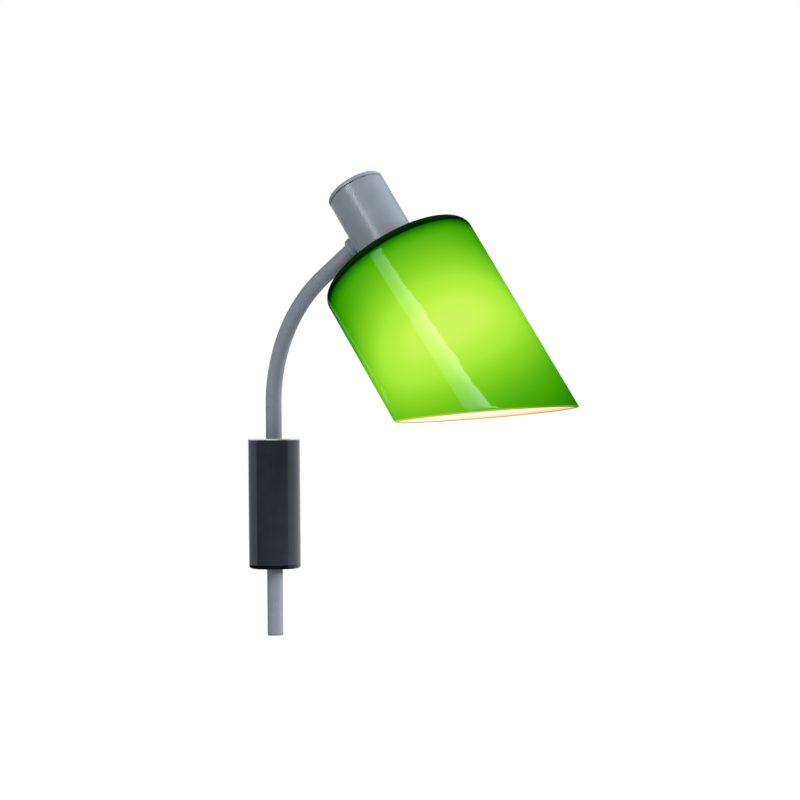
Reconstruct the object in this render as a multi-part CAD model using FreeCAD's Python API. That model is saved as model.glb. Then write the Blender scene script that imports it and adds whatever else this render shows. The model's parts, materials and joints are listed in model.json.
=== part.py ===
import FreeCAD, Part
import math
import os

os.makedirs("parts", exist_ok=True)
Vec = FreeCAD.Vector

# Wall lamp with a round wall base, a bent stem that slides and turns in it, and a slant-cut glass shade.
# Millimetres. The wall is the plane X = 0, +X points into the room and +Z is up.
# The origin is the middle of the wall plate's back face. The stem stands at X = stem_offset.

# Stem: a bent steel tube, straight through the base, one bend, then straight to the head
stem_offset = 17.0
stem_r = 6.1
stem_wall = 1.0
stem_below = 51.5
stem_above = 27.0
bend_r = 117.5
arm_rise = 35.0
arm_reach = 62.5

# Travel of the moving joints
slide_down = 20.0
slide_up = 30.0
swing_angle = 60.0
head_angle = 90.0

# Clearances
running_gap = 0.05
flat_gap = 0.1
loose_gap = 0.5
stop_gap = 0.3
overrun = 1.0
quarter_turn = 90.0
half_turn = 180.0
full_turn = 360.0

# Base: a cover tube and two end caps round an extruded carrier, hung on a plate on the wall
base_r = 20.0
base_length = 100.0
cover_wall = 1.5
top_cap_height = 1.6
top_cap_edge = 0.5
bottom_cap_height = 3.0
bottom_cap_edge = 2.2
plate_width = 14.0
plate_thick = 2.0
wall_hole_r = 2.25
wall_hole_spacing = 68.0
wall_head_r = 5.0
wall_head_height = 3.2
hook_spacing = 32.0
hook_shank_r = 2.0
hook_head_r = 3.6
hook_head_thick = 1.4
hook_lip = 1.6
hook_drop = 9.0
carrier_bore_r = 11.0
swing_groove_depth = 3.6
port_r = 1.25
port_angle = 115.0
cap_screw_head_r = 2.6
cap_screw_head_height = 1.3
cap_screw_length = 10.0
cross_length_share = 0.5
cross_width_share = 0.125
cross_depth_share = 0.6

# Bushes and their grip rings, which turn with the stem while the stem slides in them
bush_flange_r = 13.0
bush_flange_thick = 2.0
grip_cord_r = 1.0
grip_groove_gap = 0.1

# Stop ring on the stem, with the screw whose head swings in the carrier's groove
ring_r = 10.0
ring_height = 8.0
stop_shank_r = 1.5
stop_head_r = 2.75
stop_head_height = 3.0
stop_socket_r = 1.3
stop_socket_depth = 1.6

# Cord gland in the stem's lower end and the lead inside the stem
gland_flange = 1.0
gland_length = 11.0
gland_bore_r = 3.3
lead_r = 3.0
core_r = 1.0
core_ring_r = 1.5
core_spread = 120.0

# Head swivel: collar, hollow spigot, washers and nut on the arm's end
collar_r = 8.5
collar_length = 5.0
collar_chamfer = 1.5
collar_step = 2.2
spigot_r = 5.0
spigot_bore_r = 3.4
spigot_plug_length = 18.0
spigot_inside = 10.5
saddle_r = 8.0
saddle_crown = 1.5
inner_saddle_thick = 2.7
friction_thick = 0.8
nut_flats = 14.0
nut_thick = 4.0
nut_sides = 6
pin_r = 0.8
pin_ring_r = 6.75
pin_proud = 1.5
pin_slot_gap = 0.25

# Housing over the lamp holder and its vented lid
housing_r = 22.5
housing_wall = 1.2
housing_rise = 32.0
housing_floor = 1.5
lid_thick = 3.0
lid_edge = 1.3
vent_height = 1.2
vent_width = 3.2
vent_count = 12
skirt_depth = 6.5
skirt_wall = 1.6

# Lamp holder, its metal parts and the leads inside the housing
holder_top_drop = 9.6
barrel_r = 17.5
holder_flange_r = 20.3
holder_flange_thick = 2.4
neck_r = 19.5
neck_drop = 52.0
socket_r = 14.3
socket_top_drop = 30.2
thread_shell_wall = 0.8
thread_shell_length = 16.5
contact_r = 5.0
contact_thick = 0.6
terminal_width = 5.0
terminal_length = 6.0
terminal_height = 5.0
terminal_x = 7.0
terminal_y = 8.0
terminal_screw_r = 1.3
lead_bend_r = 3.0
earth_height = 10.0
earth_stud_r = 1.5
earth_stud_length = 6.0
earth_nut_r = 3.0
earth_nut_thick = 2.4

# Shade of cased glass with its gaskets and threaded ring
shade_r = 61.0
shade_drop = 32.0
shade_depth = 140.3
shade_cut = 30.1
shade_shoulder = 6.0
glass_thick = 3.0
shade_hole_r = 20.3
gasket_thick = 0.6
lower_gasket_r = 25.5
shade_ring_r = 26.0
shade_ring_height = 6.0
ring_notch_r = 1.4
ring_notch_count = 12

# Bulb: screw cap lamp with an opal envelope
bulb_length = 105.0
globe_r = 30.0
envelope_wall = 1.0
cap_r = 13.1
cap_length = 22.0
tip_r = 4.5
tip_height = 1.5
insulator_height = 3.2
insulator_top_share = 0.84
neck_share = 1.04

# Heights and places worked out from the sizes above
base_top = base_length / 2
base_bottom = -base_length / 2
carrier_top = base_top - top_cap_height
carrier_bottom = base_bottom + bottom_cap_height
carrier_length = carrier_top - carrier_bottom
carrier_r = base_r - cover_wall - flat_gap
bush_length = (carrier_length - slide_down - slide_up - ring_height) / 2 - stop_gap
ring_bottom = carrier_bottom + bush_length + stop_gap + slide_down
ring_middle = ring_bottom + ring_height / 2
stem_bottom = base_bottom - stem_below
bend_start = base_top + stem_above
bend_angle = quarter_turn - arm_rise
rise = math.radians(arm_rise)
arm_way = Vec(math.cos(rise), 0, math.sin(rise))
bend_end = Vec(stem_offset + bend_r * (1 - math.sin(rise)), 0, bend_start + bend_r * math.cos(rise))
head_point = bend_end + arm_way * arm_reach
bore_r = stem_r - stem_wall
housing_inner_r = housing_r - housing_wall
saddle_face = housing_r + saddle_crown
collar_start = saddle_face + flat_gap
tube_end = collar_start + collar_step
inner_face = housing_inner_r - inner_saddle_thick
friction_start = inner_face - flat_gap - friction_thick
nut_start = friction_start - nut_thick
housing_bottom = -(shade_drop - running_gap - gasket_thick)
glass_under = -(shade_drop + glass_thick)
lower_gasket_bottom = glass_under - running_gap - gasket_thick
contact_bottom = -(socket_top_drop + contact_thick)
bulb_top = contact_bottom
cap_bottom = bulb_top - tip_height - insulator_height - cap_length
globe_middle = bulb_top - bulb_length + globe_r


def rounded_edges(points, radii, closed):
    """Straight runs through the points, each corner rounded by a tangent arc of its own radius."""
    count = len(points)
    corners = []
    for i, (point, radius) in enumerate(zip(points, radii)):
        if radius == 0:
            corners.append((point, None, point))
            continue
        back = (points[i - 1] - point).normalize()
        ahead = (points[(i + 1) % count] - point).normalize()
        half = back.getAngle(ahead) / 2
        inward = (back + ahead).normalize()
        reach = radius / math.tan(half)
        middle = point + inward * (radius / math.sin(half) - radius)
        corners.append((point + back * reach, middle, point + ahead * reach))
    edges = []
    for i, (start, middle, stop) in enumerate(corners):
        if middle is not None:
            edges.append(Part.Arc(start, middle, stop).toShape())
        if closed or i < count - 1:
            edges.append(Part.makeLine(stop, corners[(i + 1) % count][0]))
    return edges


def turned(outline, radii=None):
    """Solid of revolution about Z from the corners (radius, height) of its half section."""
    points = [Vec(r, 0, z) for r, z in outline]
    wire = Part.Wire(rounded_edges(points, radii or [0] * len(points), True))
    return Part.Face(wire).revolve(Vec(), Vec(0, 0, 1), full_turn)


def tube(outer_r, inner_r, low, high):
    """Plain ring or tube about Z."""
    return turned([(inner_r, low), (outer_r, low), (outer_r, high), (inner_r, high)])


def rod(radius, low, high, x=0, y=0):
    """Plain round rod along Z."""
    return Part.makeCylinder(radius, high - low, Vec(x, y, low))


def block(low, high):
    """Box between its lowest and highest corners."""
    size = high - low
    return Part.makeBox(size.x, size.y, size.z, low)


def at_stem(shape):
    """Moves a piece from the Z axis to the stem's axis."""
    shape.translate(Vec(stem_offset, 0, 0))
    return shape


def at_head(shape):
    """Moves a piece from the head's own frame: X along the arm's end, Z up the shade's axis."""
    shape.rotate(Vec(), Vec(0, 1, 0), -arm_rise)
    shape.translate(head_point)
    return shape


def to_arm_axis(shape):
    """Lays a piece turned about Z along the arm's end: its height becomes the distance from the head's axis."""
    shape.rotate(Vec(), Vec(0, 1, 0), -quarter_turn)
    return shape


def stem_line(radius, low, end):
    """Rod along the stem's centre line, from the height low to the distance end before the head's axis."""
    upright = Part.makeCylinder(radius, bend_start - low, Vec(stem_offset, 0, low))
    section = Part.Face(Part.Wire(Part.makeCircle(radius, Vec(stem_offset, 0, bend_start))))
    bend = section.revolve(Vec(stem_offset + bend_r, 0, bend_start), Vec(0, 1, 0), bend_angle)
    arm = Part.makeCylinder(radius, arm_reach - end, bend_end, arm_way)
    return upright.fuse([bend, arm]).removeSplitter()


def behind_wall():
    """Space behind the wall face, cut from everything that is round and stands against the wall."""
    side = base_r * 2
    return block(Vec(-side, -side, base_bottom - overrun), Vec(0, side, base_top + overrun))


def port_places():
    """The two screw ports of the carrier, one on each side of the stem."""
    ring = (carrier_bore_r + carrier_r) / 2
    turn = math.radians(port_angle)
    return [(stem_offset + ring * math.cos(turn), side * ring * math.sin(turn)) for side in (-1, 1)]


def wall_plate():
    """Pressed steel strip against the wall, with two holes for wall screws and two for the hooks."""
    half = plate_width / 2
    plate = block(Vec(0, -half, carrier_bottom + flat_gap), Vec(plate_thick, half, carrier_top - flat_gap))
    for side in (-1, 1):
        for radius, spacing in ((wall_hole_r, wall_hole_spacing), (hook_shank_r, hook_spacing)):
            start = Vec(-overrun, 0, side * spacing / 2)
            plate = plate.cut(Part.makeCylinder(radius, plate_thick + overrun * 2, start, Vec(1, 0, 0)))
    return plate


def hook_studs():
    """Two headed studs riveted in the wall plate, on which the carrier hangs."""
    head_start = plate_thick + hook_lip + flat_gap
    studs = []
    for side in (-1, 1):
        foot = Vec(0, 0, side * hook_spacing / 2)
        shank = Part.makeCylinder(hook_shank_r, head_start, foot, Vec(1, 0, 0))
        head = Part.makeCylinder(hook_head_r, hook_head_thick, foot + Vec(head_start, 0, 0), Vec(1, 0, 0))
        studs.append(shank.fuse(head).removeSplitter())
    return Part.makeCompound(studs)


def keyhole(height):
    """Keyhole in the carrier's back: a round entry, a narrow slot over the shank, a wide pocket for the head."""
    entry_r = hook_head_r + stop_gap
    slot_r = hook_shank_r + running_gap
    entry = Vec(plate_thick - overrun, 0, height - hook_drop)
    through = stem_offset - carrier_bore_r + overrun
    along = Vec(1, 0, 0)
    cut = Part.makeCylinder(entry_r, through - entry.x, entry, along)
    cut = cut.fuse(Part.makeCylinder(slot_r, through - entry.x, Vec(entry.x, 0, height), along))
    cut = cut.fuse(block(Vec(entry.x, -slot_r, entry.z), Vec(through, slot_r, height)))
    pocket = plate_thick + hook_lip
    cut = cut.fuse(Part.makeCylinder(entry_r, through - pocket, Vec(pocket, 0, height), along))
    return cut.fuse(block(Vec(pocket, -entry_r, entry.z), Vec(through, entry_r, height)))


def swing_groove():
    """Fan-shaped groove down the carrier's bore, whose sides stop the stop screw at the ends of its swing."""
    side = math.degrees(math.asin((stop_head_r + stop_gap) / ring_r))
    half = swing_angle + side
    depth_r = carrier_bore_r + swing_groove_depth
    fan = Part.makeCylinder(depth_r, carrier_length + overrun * 2, Vec(0, 0, carrier_bottom - overrun),
                            Vec(0, 0, 1), half * 2)
    fan.rotate(Vec(), Vec(0, 0, 1), -half)
    return at_stem(fan)


def carrier():
    """Aluminium extrusion that holds the bushes, with a flat back on the wall plate."""
    body = at_stem(tube(carrier_r, carrier_bore_r, carrier_bottom, carrier_top))
    side = base_r * 2
    body = body.cut(block(Vec(-side, -side, base_bottom), Vec(plate_thick, side, base_top)))
    body = body.cut(swing_groove())
    seat_r = bush_flange_r + running_gap
    seat = bush_flange_thick + flat_gap * 2
    body = body.cut(at_stem(rod(seat_r, carrier_top - seat, carrier_top + overrun)))
    body = body.cut(at_stem(rod(seat_r, carrier_bottom - overrun, carrier_bottom + seat)))
    for way in (-1, 1):
        body = body.cut(keyhole(way * hook_spacing / 2))
        relief = Vec(plate_thick - overrun, 0, way * wall_hole_spacing / 2)
        body = body.cut(Part.makeCylinder(wall_head_r, wall_head_height + overrun, relief, Vec(1, 0, 0)))
    for x, y in port_places():
        body = body.cut(rod(port_r, carrier_bottom - overrun, carrier_top + overrun, x, y))
    access = Vec(stem_offset + carrier_bore_r, 0, ring_middle)
    return body.cut(Part.makeCylinder(stop_head_r + loose_gap, base_r, access, Vec(1, 0, 0)))


def base_cover():
    """Lacquered aluminium tube round the carrier, cut flat where it meets the wall."""
    cover = at_stem(tube(base_r, base_r - cover_wall, carrier_bottom, carrier_top))
    return cover.cut(behind_wall())


def cap_screw(x, y, face, way):
    """Countersunk screw at a port, its head flush with the cap's face and its shank pointing the way given."""
    head = Part.makeCone(cap_screw_head_r, port_r, cap_screw_head_height, Vec(x, y, face), Vec(0, 0, way))
    shank = Part.makeCylinder(port_r, cap_screw_length, Vec(x, y, face), Vec(0, 0, way))
    return head.fuse(shank).removeSplitter()


def cap_screws(face, way):
    """Both screws of one cap, with a cross recess each."""
    screws = []
    for x, y in port_places():
        screw = cap_screw(x, y, face, way)
        arm, width = cap_screw_head_r * cross_length_share, cap_screw_head_r * cross_width_share
        deep = cap_screw_head_height * cross_depth_share
        for long_x, long_y in ((arm, width), (width, arm)):
            low, high = sorted((face - way * overrun, face + way * deep))
            slot = block(Vec(x - long_x, y - long_y, low), Vec(x + long_x, y + long_y, high))
            screw = screw.cut(slot)
        screws.append(screw)
    return Part.makeCompound(screws)


def drill_cap(cap, face, way):
    """Cuts the stem's hole and the screws' countersinks from a cap, and the part behind the wall."""
    cap = cap.cut(rod(stem_r + loose_gap, base_bottom - overrun, base_top + overrun))
    cap = at_stem(cap).cut(behind_wall())
    for x, y in port_places():
        cap = cap.cut(cap_screw(x, y, face, way))
    return cap


def top_cap():
    """Lacquered aluminium disc on the top of the base."""
    outline = [(0, carrier_top), (base_r, carrier_top), (base_r, base_top), (0, base_top)]
    return drill_cap(turned(outline, [0, 0, top_cap_edge, 0]), base_top, -1)


def bottom_cap():
    """Moulded glossy disc under the base, with a well rounded lower edge."""
    outline = [(0, base_bottom), (base_r, base_bottom), (base_r, carrier_bottom), (0, carrier_bottom)]
    return drill_cap(turned(outline, [0, bottom_cap_edge, 0, 0]), base_bottom, 1)


def bush():
    """Moulded flanged bush standing on its flange at height 0, with a groove for the grip ring in its bore."""
    inner_r, outer_r = stem_r + running_gap, carrier_bore_r - running_gap
    end = bush_length
    body = turned([(inner_r, flat_gap), (bush_flange_r, flat_gap), (bush_flange_r, bush_flange_thick + flat_gap),
                   (outer_r, bush_flange_thick + flat_gap), (outer_r, end), (inner_r, end)])
    groove_r = stem_r + grip_cord_r * 2 + grip_groove_gap
    half = grip_cord_r + grip_groove_gap
    return body.cut(tube(groove_r, stem_r, bush_length / 2 - half, bush_length / 2 + half))


def grip_ring():
    """Rubber ring in the bush's groove, which grips the stem."""
    return Part.makeTorus(stem_r + grip_cord_r + running_gap / 2, grip_cord_r, Vec(0, 0, bush_length / 2))


def lower_end(shape):
    """Places a bush or its ring in the carrier's lower end."""
    shape.translate(Vec(stem_offset, 0, carrier_bottom))
    return shape


def upper_end(shape):
    """Places a bush or its ring upside down in the carrier's upper end."""
    shape.rotate(Vec(), Vec(1, 0, 0), half_turn)
    shape.translate(Vec(stem_offset, 0, carrier_top))
    return shape


def stem_tube():
    """Bent and painted steel tube."""
    low, end = stem_bottom + gland_flange, tube_end
    return stem_line(stem_r, low, end).cut(stem_line(bore_r, low, end))


def stop_ring():
    """Steel ring clamped on the stem between the bushes, with a tapped hole for the stop screw."""
    ring = tube(ring_r, stem_r, ring_bottom, ring_bottom + ring_height)
    hole = Part.makeCylinder(stop_shank_r, ring_r, Vec(0, 0, ring_middle), Vec(1, 0, 0))
    return at_stem(ring.cut(hole))


def stop_screw():
    """Socket head screw in the stop ring: it clamps the ring, and its head limits the swing."""
    along = Vec(1, 0, 0)
    surface = rod(stem_r, ring_bottom, ring_bottom + ring_height)
    shank = Part.makeCylinder(stop_shank_r, ring_r, Vec(0, 0, ring_middle), along).cut(surface)
    head = Part.makeCylinder(stop_head_r, stop_head_height, Vec(ring_r, 0, ring_middle), along)
    socket_start = ring_r + stop_head_height - stop_socket_depth
    socket = Part.makeCylinder(stop_socket_r, stop_socket_depth, Vec(socket_start, 0, ring_middle), along)
    return at_stem(shank.fuse(head).removeSplitter().cut(socket))


def cord_gland():
    """Moulded plug in the stem's lower end, bored for the supply cord."""
    top = stem_bottom + gland_length
    flange_top = stem_bottom + gland_flange
    return at_stem(turned([(gland_bore_r, stem_bottom), (stem_r, stem_bottom), (stem_r, flange_top),
                           (bore_r, flange_top), (bore_r, top), (gland_bore_r, top)]))


def arm_lead():
    """Sheathed three-core lead through the stem, from the gland to the mouth of the spigot."""
    return stem_line(lead_r, stem_bottom + gland_length, spigot_inside)


def arm_collar():
    """Painted collar on the stem's end, with a curved slot for the head's stop pin."""
    end = collar_start + collar_length
    body = turned([(spigot_r, collar_start), (collar_r, collar_start), (collar_r, end - collar_chamfer),
                   (collar_r - collar_chamfer, end), (stem_r, end), (stem_r, tube_end), (spigot_r, tube_end)])
    slot_half = pin_r + pin_slot_gap
    half = head_angle + math.degrees(math.asin(slot_half / pin_ring_r))
    deep = pin_proud + pin_slot_gap
    outer = Part.makeCylinder(pin_ring_r + slot_half, deep + overrun, Vec(0, 0, collar_start - overrun),
                              Vec(0, 0, 1), half * 2)
    outer.rotate(Vec(), Vec(0, 0, 1), -half)
    slot = outer.cut(rod(pin_ring_r - slot_half, collar_start - overrun, collar_start + deep))
    return at_head(to_arm_axis(body.cut(slot)))


def swivel_spigot():
    """Turned brass plug in the tube's end with a hollow threaded spigot into the housing."""
    plug_end = tube_end + spigot_plug_length
    return at_head(to_arm_axis(turned([
        (spigot_bore_r, spigot_inside), (spigot_r, spigot_inside), (spigot_r, tube_end), (bore_r, tube_end),
        (bore_r, plug_end), (spigot_bore_r, plug_end)])))


def friction_washer():
    """Moulded washer between the nut and the inner saddle, which holds the head where it is put."""
    return at_head(to_arm_axis(tube(saddle_r, spigot_r, friction_start, friction_start + friction_thick)))


def spigot_nut():
    """Six-sided nut on the spigot inside the housing."""
    corner_r = nut_flats / 2 / math.cos(math.pi / nut_sides)
    turns = [math.pi * 2 * i / nut_sides for i in range(nut_sides + 1)]
    corners = [Vec(corner_r * math.cos(turn), corner_r * math.sin(turn), nut_start) for turn in turns]
    nut = Part.Face(Part.makePolygon(corners)).extrude(Vec(0, 0, nut_thick))
    return at_head(to_arm_axis(nut.cut(rod(spigot_r, nut_start - overrun, friction_start + overrun))))


def head_stop_pin():
    """Steel pin through the housing wall and the saddle into the collar's slot."""
    return at_head(to_arm_axis(rod(pin_r, inner_face + inner_saddle_thick / 2, saddle_face + pin_proud, pin_ring_r)))


def pin_hole():
    """Hole for the stop pin along the arm's axis, in the head's frame."""
    return to_arm_axis(rod(pin_r, inner_face - overrun, saddle_face + overrun, pin_ring_r))


def pin_bed():
    """Blind hole for the stop pin in the inner saddle, in the head's frame."""
    return to_arm_axis(rod(pin_r, inner_face + inner_saddle_thick / 2, saddle_face, pin_ring_r))


def saddle_washer():
    """Painted washer, flat to the collar and hollowed to the round housing."""
    washer = to_arm_axis(tube(saddle_r, spigot_r + running_gap, housing_inner_r, saddle_face))
    washer = washer.cut(rod(housing_r, -collar_r * 2, collar_r * 2))
    return at_head(washer.cut(pin_hole()))


def inner_saddle():
    """Steel saddle inside the housing, rounded to its wall and flat to the friction washer."""
    saddle = to_arm_axis(tube(saddle_r, spigot_r + running_gap, inner_face, housing_r))
    saddle = saddle.common(rod(housing_inner_r, -collar_r * 2, collar_r * 2))
    return at_head(saddle.cut(pin_bed()))


def housing():
    """Drawn and painted aluminium cup over the lamp holder, open at the top."""
    floor_top = housing_bottom + housing_floor
    cup = turned([(neck_r + running_gap, housing_bottom), (housing_r, housing_bottom), (housing_r, housing_rise),
                  (housing_inner_r, housing_rise), (housing_inner_r, floor_top), (neck_r + running_gap, floor_top)])
    cup = cup.cut(to_arm_axis(rod(spigot_r + running_gap, barrel_r, housing_r + overrun)))
    return at_head(cup.cut(pin_hole()))


def housing_lid():
    """Painted lid pushed into the housing on a skirt, with vent slots in the groove under its edge."""
    under = housing_rise + vent_height
    top = under + lid_thick
    skirt_low = housing_rise - skirt_depth
    outer_r, inner_r = housing_inner_r - running_gap, housing_inner_r - skirt_wall
    lid = turned([(0, under), (inner_r, under), (inner_r, skirt_low), (outer_r, skirt_low), (outer_r, under),
                  (housing_r, under), (housing_r, top), (0, top)], [0, 0, 0, 0, 0, 0, lid_edge, 0])
    for i in range(vent_count):
        slot = block(Vec(inner_r - overrun, -vent_width / 2, housing_rise), Vec(housing_r, vent_width / 2, under))
        slot.rotate(Vec(), Vec(0, 0, 1), full_turn * i / vent_count)
        lid = lid.cut(slot)
    return at_head(lid)


def lamp_holder():
    """Glazed porcelain holder: barrel, flange on the housing floor, threaded neck through the glass."""
    flange_low = housing_bottom + housing_floor
    flange_top = flange_low + holder_flange_thick
    return at_head(turned([
        (0, -holder_top_drop), (barrel_r, -holder_top_drop), (barrel_r, flange_top), (holder_flange_r, flange_top),
        (holder_flange_r, flange_low), (neck_r, flange_low), (neck_r, -neck_drop), (socket_r, -neck_drop),
        (socket_r, -socket_top_drop), (0, -socket_top_drop)]))


def thread_shell():
    """Nickelled brass sleeve in the holder, which takes the bulb's screw cap."""
    high = -neck_drop + thread_shell_length + overrun
    return at_head(tube(socket_r - running_gap, socket_r - thread_shell_wall, -neck_drop + overrun, high))


def centre_contact():
    """Sprung brass disc at the top of the socket."""
    return at_head(rod(contact_r, contact_bottom, -socket_top_drop))


def terminal(side):
    """Brass terminal block on the holder's back with its clamp screw; side is 1 or -1."""
    middle = Vec(terminal_x, side * terminal_y, -holder_top_drop)
    half = Vec(terminal_length / 2, terminal_width / 2, 0)
    body = block(middle - half, middle + half + Vec(0, 0, terminal_height))
    screw_start = middle + Vec(terminal_length / 2, 0, terminal_height / 2)
    return at_head(body.fuse(Part.makeCylinder(terminal_screw_r, terminal_screw_r, screw_start, Vec(1, 0, 0))))


def core(points):
    """Insulated core along the points, its inner corners rounded."""
    radii = [0] + [lead_bend_r] * (len(points) - 2) + [0]
    edges = rounded_edges(points, radii, False)
    path = Part.Wire(edges)
    start_way = points[1] - points[0]
    section = Part.Wire(Part.makeCircle(core_r, points[0], start_way))
    return at_head(path.makePipeShell([section], True, False))


def core_start(angle):
    """Where a core leaves the sheath at the spigot's mouth; the angle is about the arm's axis from +Y."""
    turn = math.radians(angle)
    return Vec(-spigot_inside, core_ring_r * math.cos(turn), core_ring_r * math.sin(turn))


def supply_core(side):
    """Live or neutral core, from the sheath over to its terminal; side is 1 or -1."""
    start = core_start(quarter_turn - side * core_spread)
    ahead = Vec(-core_ring_r, start.y, start.z)
    over = Vec(terminal_x, side * terminal_y, start.z + core_r)
    return core([start, ahead, over, Vec(over.x, over.y, terminal_height - holder_top_drop)])


def earth_core():
    """Earth core, from the sheath up to the stud on the housing's inner wall."""
    start = core_start(quarter_turn)
    stud_x = housing_inner_r - earth_stud_length
    ahead = Vec(-core_ring_r, 0, start.z)
    return core([start, ahead, Vec(stud_x / 2, 0, earth_height), Vec(stud_x, 0, earth_height)])


def earth_stud():
    """Stud welded to the housing's inner wall."""
    start = Vec(housing_inner_r - earth_stud_length, 0, earth_height)
    stud = Part.makeCylinder(earth_stud_r, earth_stud_length + overrun, start, Vec(1, 0, 0))
    return at_head(stud.common(rod(housing_inner_r, 0, housing_rise)))


def earth_nut():
    """Brass nut that clamps the earth core on its stud."""
    start = Vec(housing_inner_r - earth_stud_length / 2, 0, earth_height)
    nut = Part.makeCylinder(earth_nut_r, earth_nut_thick, start - Vec(earth_nut_thick / 2, 0, 0), Vec(1, 0, 0))
    bore = Part.makeCylinder(earth_stud_r, earth_stud_length, start - Vec(earth_stud_length / 2, 0, 0), Vec(1, 0, 0))
    return at_head(nut.cut(bore))


def upper_gasket():
    """Silicone ring between the housing and the glass."""
    return at_head(tube(housing_r - running_gap, neck_r + running_gap, housing_bottom - gasket_thick, housing_bottom))


def lower_gasket():
    """Silicone ring between the glass and the shade ring."""
    return at_head(tube(lower_gasket_r, neck_r + running_gap, lower_gasket_bottom, lower_gasket_bottom + gasket_thick))


def shade_ring():
    """Threaded ring that clamps the glass to the holder, notched for the fingers."""
    low = lower_gasket_bottom - shade_ring_height
    ring = tube(shade_ring_r, neck_r + running_gap, low, lower_gasket_bottom)
    for i in range(ring_notch_count):
        turn = math.radians(full_turn * i / ring_notch_count)
        x, y = shade_ring_r * math.cos(turn), shade_ring_r * math.sin(turn)
        ring = ring.cut(rod(ring_notch_r, low - overrun, lower_gasket_bottom + overrun, x, y))
    return at_head(ring)


def glass_shade():
    """Cased glass cylinder with a closed top, a rounded shoulder and a slanting mouth."""
    top, deep = -shade_drop, -(shade_drop + shade_depth + shade_r * 2)
    inner_r, inner_shoulder = shade_r - glass_thick, max(shade_shoulder - glass_thick, glass_thick / 2)
    cup = turned([(shade_hole_r, top), (shade_r, top), (shade_r, deep), (inner_r, deep), (inner_r, glass_under),
                  (shade_hole_r, glass_under)], [0, shade_shoulder, 0, 0, inner_shoulder, 0])
    side = (shade_depth + shade_r) * 2
    below = block(Vec(-side, -side, -side), Vec(side, side, 0))
    below.rotate(Vec(), Vec(0, 1, 0), shade_cut)
    below.translate(Vec(0, 0, -(shade_drop + shade_depth)))
    return at_head(cup.cut(below))


def envelope_outline(globe, neck):
    """Half section of the bulb's envelope: a round globe and a straight flank that touches it, down to the neck."""
    neck_z = cap_bottom + envelope_wall
    away = math.hypot(neck, neck_z - globe_middle)
    turn = math.atan2(neck_z - globe_middle, neck) - math.acos(globe / away)
    touch = Vec(globe * math.cos(turn), 0, globe_middle + globe * math.sin(turn))
    low = Vec(0, 0, globe_middle - globe)
    half = (turn - math.pi / 2) / 2
    middle = Vec(globe * math.cos(half), 0, globe_middle + globe * math.sin(half))
    top = Vec(0, 0, neck_z)
    shoulder = Vec(neck, 0, neck_z)
    edges = [Part.makeLine(top, shoulder), Part.makeLine(shoulder, touch),
             Part.Arc(touch, middle, low).toShape(), Part.makeLine(low, top)]
    return Part.Face(Part.Wire(edges)).revolve(Vec(), Vec(0, 0, 1), full_turn)


def bulb_envelope():
    """Opal glass envelope, open at its neck."""
    neck = cap_r * neck_share
    outer = envelope_outline(globe_r, neck)
    inner = envelope_outline(globe_r - envelope_wall, neck - envelope_wall)
    return at_head(outer.cut(inner))


def bulb_cap():
    """Screw cap of the bulb: a brass cup round the neck."""
    high = cap_bottom + cap_length
    inner = cap_r - envelope_wall
    neck_low = cap_bottom + envelope_wall
    body = turned([(0, high), (cap_r, high), (cap_r, neck_low), (inner, neck_low), (inner, high - envelope_wall),
                   (0, high - envelope_wall)])
    return at_head(body)


def bulb_insulator():
    """Black glass cone between the screw cap and the tip."""
    low = bulb_top - tip_height - insulator_height
    return at_head(Part.makeCone(cap_r * insulator_top_share, tip_r, insulator_height, Vec(0, 0, low), Vec(0, 0, 1)))


def bulb_tip():
    """Solder contact at the end of the bulb."""
    return at_head(rod(tip_r, bulb_top - tip_height, bulb_top))


nodes = {
    "wall_plate": wall_plate(),
    "hook_studs": hook_studs(),
    "carrier": carrier(),
    "base_cover": base_cover(),
    "top_cap": top_cap(),
    "bottom_cap": bottom_cap(),
    "top_cap_screws": cap_screws(base_top, -1),
    "bottom_cap_screws": cap_screws(base_bottom, 1),
    "upper_bush": upper_end(bush()),
    "lower_bush": lower_end(bush()),
    "upper_grip_ring": upper_end(grip_ring()),
    "lower_grip_ring": lower_end(grip_ring()),
    "stem_tube": stem_tube(),
    "stop_ring": stop_ring(),
    "stop_screw": stop_screw(),
    "cord_gland": cord_gland(),
    "arm_lead": arm_lead(),
    "arm_collar": arm_collar(),
    "swivel_spigot": swivel_spigot(),
    "friction_washer": friction_washer(),
    "spigot_nut": spigot_nut(),
    "head_stop_pin": head_stop_pin(),
    "saddle_washer": saddle_washer(),
    "inner_saddle": inner_saddle(),
    "housing": housing(),
    "housing_lid": housing_lid(),
    "lamp_holder": lamp_holder(),
    "thread_shell": thread_shell(),
    "centre_contact": centre_contact(),
    "live_terminal": terminal(1),
    "neutral_terminal": terminal(-1),
    "live_core": supply_core(1),
    "neutral_core": supply_core(-1),
    "earth_core": earth_core(),
    "earth_stud": earth_stud(),
    "earth_nut": earth_nut(),
    "upper_gasket": upper_gasket(),
    "lower_gasket": lower_gasket(),
    "shade_ring": shade_ring(),
    "glass_shade": glass_shade(),
    "bulb_envelope": bulb_envelope(),
    "bulb_cap": bulb_cap(),
    "bulb_insulator": bulb_insulator(),
    "bulb_tip": bulb_tip(),
}

for name, shape in nodes.items():
    shape.exportStep("parts/" + name + ".step")
    print(name, len(shape.Solids), shape.isValid(), round(shape.Volume))
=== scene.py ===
import json
import bmesh
import bpy
import numpy as np
from mathutils import Matrix


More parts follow.
